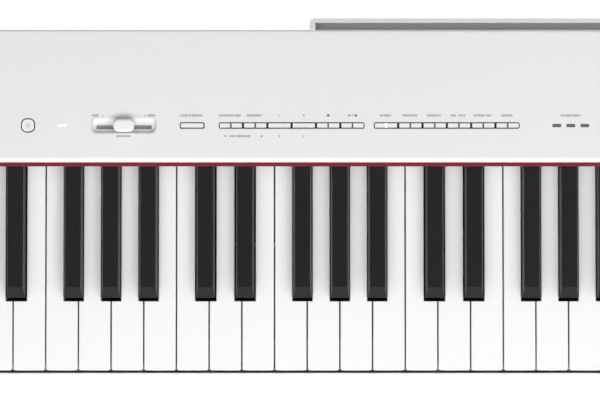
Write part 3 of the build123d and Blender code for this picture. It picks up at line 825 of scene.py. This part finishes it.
# ---------------------------------------------------------------------------------------------
# Volume slider. A glossy moulded dish is set in the panel. A pill-shaped cap slides along its
# slot on the fader's thin lever and carries a grey dust strip, with two felt lips below it.
def rounded_outline(middle, length, width, radius, height, steps=8):
    """Points round a rectangle with rounded corners, at one height."""
    points = []
    for corner, (x_side, y_side) in enumerate(((1, 1), (-1, 1), (-1, -1), (1, -1))):
        centre_x = middle[0] + x_side * (length / 2 - radius)
        centre_y = middle[1] + y_side * (width / 2 - radius)
        for step in range(steps + 1):
            turn = math.pi / 2 * (corner + step / steps)
            points.append(Vector((centre_x + radius * math.cos(turn), centre_y + radius * math.sin(turn),
                                  height)))
    return points


def ring_shell(name, rings):
    """A closed ring-shaped solid through a list of outlines with equal numbers of points."""
    mesh = bpy.data.meshes.new(name)
    count = len(rings[0])
    faces = []
    for ring in range(len(rings)):
        following = (ring + 1) % len(rings)
        for k in range(count):
            along = (k + 1) % count
            faces.append((ring * count + k, ring * count + along, following * count + along,
                          following * count + k))
    mesh.from_pydata([tuple(point) for ring in rings for point in ring], [], faces)
    work = bmesh.new()
    work.from_mesh(mesh)
    bmesh.ops.recalc_face_normals(work, faces=work.faces)
    work.to_mesh(mesh)
    work.free()
    for face in mesh.polygons:
        face.use_smooth = True
    mesh.set_sharp_from_angle(angle=math.radians(50))
    piece = bpy.data.objects.new(name, mesh)
    bpy.context.collection.objects.link(piece)
    return piece


trim_white = moulded_plastic("trim_white", (0.8, 0.8, 0.8), 0.24, grain=0.003)
bezel_low, bezel_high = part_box("slider_bezel")
dish_middle = (bezel_low + bezel_high) / 2
dish_length, dish_width = bezel_high.x - bezel_low.x, bezel_high.y - bezel_low.y
dish_corner, dish_depth, dish_steps = 4.5 * MM, 2.9 * MM, 12
wall_share = 0.62
slot_setback, lever_setback = 0.9 * MM, 1.2 * MM
slot_middle = (dish_middle.x, dish_middle.y - slot_setback)
slot_length, slot_width, slot_corner = 39.4 * MM, 3 * MM, 0.8 * MM


def dish_outline(inset, height):
    """The dish's outline, moved inwards by an inset."""
    return rounded_outline(dish_middle, dish_length - 2 * inset, dish_width - 2 * inset,
                           dish_corner - inset, height)


def slot_outline(height):
    """The slot's outline at one height."""
    return rounded_outline(slot_middle, slot_length, slot_width, slot_corner, height)


dish_top = bezel_high.z
rim, rim_rounding, floor_edge = 0.35 * MM, 0.15 * MM, 0.25 * MM
rings = [dish_outline(0, bezel_low.z), dish_outline(0, dish_top - rim_rounding),
         dish_outline(0.1 * MM, dish_top)]
for step in range(dish_steps + 1):
    share = step / dish_steps
    level = dish_top - dish_depth * math.sin(min(1, share / wall_share) * math.pi / 2)
    rings.append([outer.lerp(inner, share)
                  for outer, inner in zip(dish_outline(rim, level), slot_outline(level))])
rings.append(slot_outline(dish_top - dish_depth - floor_edge))
rings.append(slot_outline(bezel_low.z))
dish = ring_shell("slider_dish", rings)
dress(dish, trim_white, "trim_plastic", "piano", "slider_bezel")

knob_low, knob_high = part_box("volume_knob")
knob_middle = (knob_low + knob_high) / 2
travel = 15 * MM
strip_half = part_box("song_button")[0].x - 0.5 * MM - travel - knob_middle.x
strip_reach = 2.6 * MM
strip_low, strip_high = bezel_low.z - 0.7 * MM, bezel_low.z - 0.1 * MM
cover = slab("slider_dust_strip", (knob_middle.x - strip_half, slot_middle[1] - strip_reach, strip_low),
             (knob_middle.x + strip_half, slot_middle[1] + strip_reach, strip_high))
strip_grey = moulded_plastic("strip_grey", (0.32, 0.32, 0.32), 0.45)
dress(soften(cover, 0.1 * MM, 2), strip_grey, "trim_plastic", "volume_knob")

lip_felt = wool_felt("pale_felt", (0.42, 0.42, 0.42))
lip_half = slot_length / 2 + MM
lip_low, lip_high = bezel_low.z - 1.6 * MM, bezel_low.z - 0.9 * MM
lip_near, lip_far = 0.55 * MM, 2.4 * MM
lever_y = dish_middle.y - lever_setback
for word, front, rear in (("front", lever_y - lip_far, lever_y - lip_near),
                          ("rear", lever_y + lip_near, lever_y + lip_far)):
    lip = slab(f"slider_{word}_lip", (dish_middle.x - lip_half, front, lip_low),
               (dish_middle.x + lip_half, rear, lip_high))
    dress(soften(lip, 0.1 * MM, 2), lip_felt, "grey_felt", "piano")

knob_white = moulded_plastic("knob_white", (0.84, 0.84, 0.845), 0.58, grain=0.008)
knob = soften(merged_copy("volume_knob", "volume_knob_cap"), 0.6 * MM, 4, 25)
dress(knob, knob_white, "trim_plastic", "volume_knob", "volume_knob")


# ---------------------------------------------------------------------------------------------
# Panel marks. Pale grey ink printed on the panel beside the controls: rows of short strokes in
# place of words, dots along the slider, and the usual signs for less, more, record and play.
ink = moulded_plastic("grey_ink", (0.13, 0.13, 0.13), 0.6, grain=0.002)
ink_thickness = 0.03 * MM
ink_low, ink_high = panel_top, panel_top + ink_thickness
strokes_tree, given = new_tree("label_strokes", ("Start", "Vector"), ("Length", "Float"),
                               ("Pitch", "Float"), ("Stroke", "Vector"), ("Skip", "Float"),
                               ("Seed", "Int"), ("Finish", "Material"))
step = given["Pitch"].add("ShaderNodeCombineXYZ", X=given["Pitch"])
count = given["Length"].math("DIVIDE", given["Length"], given["Pitch"])
line = step.add("GeometryNodeMeshLine", {"mode": "OFFSET"}, Count=count, Start_Location=given["Start"],
                Offset=step)
chance = step.add("FunctionNodeRandomValue", {"data_type": "FLOAT"}, 1, Seed=given["Seed"])
kept = step.add("GeometryNodeDeleteGeometry", Geometry=line, Selection=chance < given["Skip"])
stroke = step.add("GeometryNodeMeshCube", Size=given["Stroke"])
tall = step.add("FunctionNodeRandomValue", {"data_type": "FLOAT"}, 1, Seed=given["Seed"] + 7)
size = step.add("ShaderNodeCombineXYZ", X=1.0, Y=0.55 + 0.45 * tall, Z=1.0)
row = step.add("GeometryNodeInstanceOnPoints", Points=kept, Instance=stroke, Scale=size)
end_tree(strokes_tree, row, given["Finish"])

stroke_size = (0.32 * MM, 2.1 * MM, ink_thickness)
stroke_pitch = 0.62 * MM


def label(name, x, y, length, seed):
    """A row of short upright strokes, centred on a place."""
    start = (x - length / 2, y, ink_low + ink_thickness / 2)
    strokes = run_tree(f"{name}_mark", strokes_tree, Start=start, Length=length, Pitch=stroke_pitch,
                       Stroke=stroke_size, Skip=0.08, Seed=seed, Finish=ink)
    dress(strokes, ink, "trim_plastic", "piano")


def middle_of(node):
    """The middle of a CAD node's box."""
    low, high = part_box(node)
    return (low + high) / 2


row_y = middle_of("song_button").y
upper_y, lower_y = row_y + 7.2 * MM, row_y - 7.6 * MM
buttons_x = {node[:-len("_button")]: middle_of(node).x
             for node in frame["nodes"] if node.endswith("_button")}
variation_middle = lamp_high.x - 13.05 * MM
slider_x = dish_middle.x
function_x = buttons_x["rhythm"] - 10.7 * MM
for name, x, y, length, seed in (
        ("song", buttons_x["song"], upper_y, 17, 1),
        ("metronome", buttons_x["metronome"], upper_y, 17, 2),
        ("rhythm", buttons_x["rhythm"], upper_y, 11.4, 3),
        ("grand", buttons_x["grand_voice"], upper_y, 8.5, 10),
        ("electric", buttons_x["electric_voice"], upper_y, 10.7, 11),
        ("organ", buttons_x["organ_voice"], upper_y, 10, 12),
        ("clavi", buttons_x["clavi_voice"], upper_y, 11.4, 13),
        ("strings", buttons_x["strings_voice"], upper_y, 12.8, 14),
        ("layer", buttons_x["layer_voice"], upper_y, 8.5, 15),
        ("variation", variation_middle, upper_y, 14.3, 20),
        ("slider_low", slider_x - 20 * MM, upper_y, 5, 21),
        ("slider_high", slider_x + 20.2 * MM, upper_y, 6, 22),
        ("volume", slider_x, lower_y, 10.7, 23),
        ("second_function", function_x, lower_y, 15, 24)):
    label(name, x, y, length * MM, seed)

# Signs made of plain bars: less, more, two small function marks, stop, and the stroke before it.
for name, x, y, length, depth in (
        ("minus", buttons_x["minus"], upper_y, 1.6, 0.35),
        ("plus_across", buttons_x["plus"], upper_y, 1.6, 0.35),
        ("plus_upright", buttons_x["plus"], upper_y, 0.35, 1.6),
        ("minus_function", buttons_x["minus"], lower_y, 0.5, 1.4),
        ("plus_function", buttons_x["plus"], lower_y, 0.5, 1.4),
        ("stop", buttons_x["play_stop"] + 2.4 * MM, upper_y, 1.7, 1.7),
        ("play_stroke", buttons_x["play_stop"], upper_y, 0.3, 2)):
    bar = slab(f"{name}_mark", (x - length * MM / 2, y - depth * MM / 2, ink_low),
               (x + length * MM / 2, y + depth * MM / 2, ink_high))
    dress(bar, ink, "trim_plastic", "piano")


def ink_disc(name, x, y, radius, sides):
    """A flat printed disc, or with three sides an arrowhead that points right."""
    turns = [2 * math.pi * k / sides for k in range(sides)]
    points = [(x + radius * math.cos(turn), y + radius * math.sin(turn), z)
              for z in (ink_low, ink_high) for turn in turns]
    flanks = [(k, (k + 1) % sides, sides + (k + 1) % sides, sides + k) for k in range(sides)]
    faces = flanks + [tuple(range(sides))[::-1], tuple(range(sides, 2 * sides))]
    mesh = bpy.data.meshes.new(name)
    mesh.from_pydata(points, [], faces)
    piece = bpy.data.objects.new(f"{name}_mark", mesh)
    bpy.context.collection.objects.link(piece)
    dress(piece, ink, "trim_plastic", "piano")


ink_disc("record", buttons_x["record"], upper_y, 0.95 * MM, 20)
ink_disc("play", buttons_x["play_stop"] - 2.2 * MM, upper_y, 1.15 * MM, 3)
ink_disc("function_left_arrow", buttons_x["metronome"] - 3.9 * MM, lower_y, 0.9 * MM, 3)
ink_disc("function_right_arrow", buttons_x["rhythm"] + 4.6 * MM, lower_y, 0.9 * MM, 3)

# Dots above the slider: small ones along its travel and a bigger one at each end.
dot_pitch, end_dot_reach = 2.5 * MM, 15 * MM
small_dots = [(slider_x + k * dot_pitch, upper_y, ink_low) for k in range(-5, 6)]
end_dots = [(slider_x + side * end_dot_reach, upper_y, ink_low) for side in (-1, 1)]
for name, radius, sides, places in (("slider_dots", 0.22 * MM, 10, small_dots),
                                    ("slider_end_dots", 0.45 * MM, 12, end_dots)):
    profile = [(0, 0), (radius, 0), (radius, ink_thickness), (0, ink_thickness)]
    dots = copies(name, lathe(name, profile, sides), places, ink)
    dress(dots, ink, "trim_plastic", "piano")


# ---------------------------------------------------------------------------------------------
# Sockets. Black moulded jacks are soldered to a board behind the rear wall, and a plated ring
# nut holds each of the three big ones to the wall.
socket_black = moulded_plastic("socket_black", (0.02, 0.02, 0.02), 0.4)
sockets = soften(merged_copy("jacks", "socket_set"), 0.2 * MM, 2)
dress(sockets, socket_black, "socket_plastic", "piano", "jacks")

wall_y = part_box("jacks")[1].y
bores = [mount["pos_m"] for mount in frame["record"]["mounts"] if mount["kind"] == "bore"]
ring_profile = [(3.4, 0), (6.3, 0), (6.3, 0.5), (5.9, 1), (4, 1), (3.4, 0.6), (3.4, 0)]
ring_mesh = lathe("socket_ring", [(radius * MM, height * MM) for radius, height in ring_profile], 36)
ring_places = [(x, wall_y, z) for x, y, z in bores[:3]]
rings = copies("socket_rings", ring_mesh, ring_places, zinc_finish, (-math.pi / 2, 0, 0))
dress(rings, zinc_finish, "plated_steel", "piano")
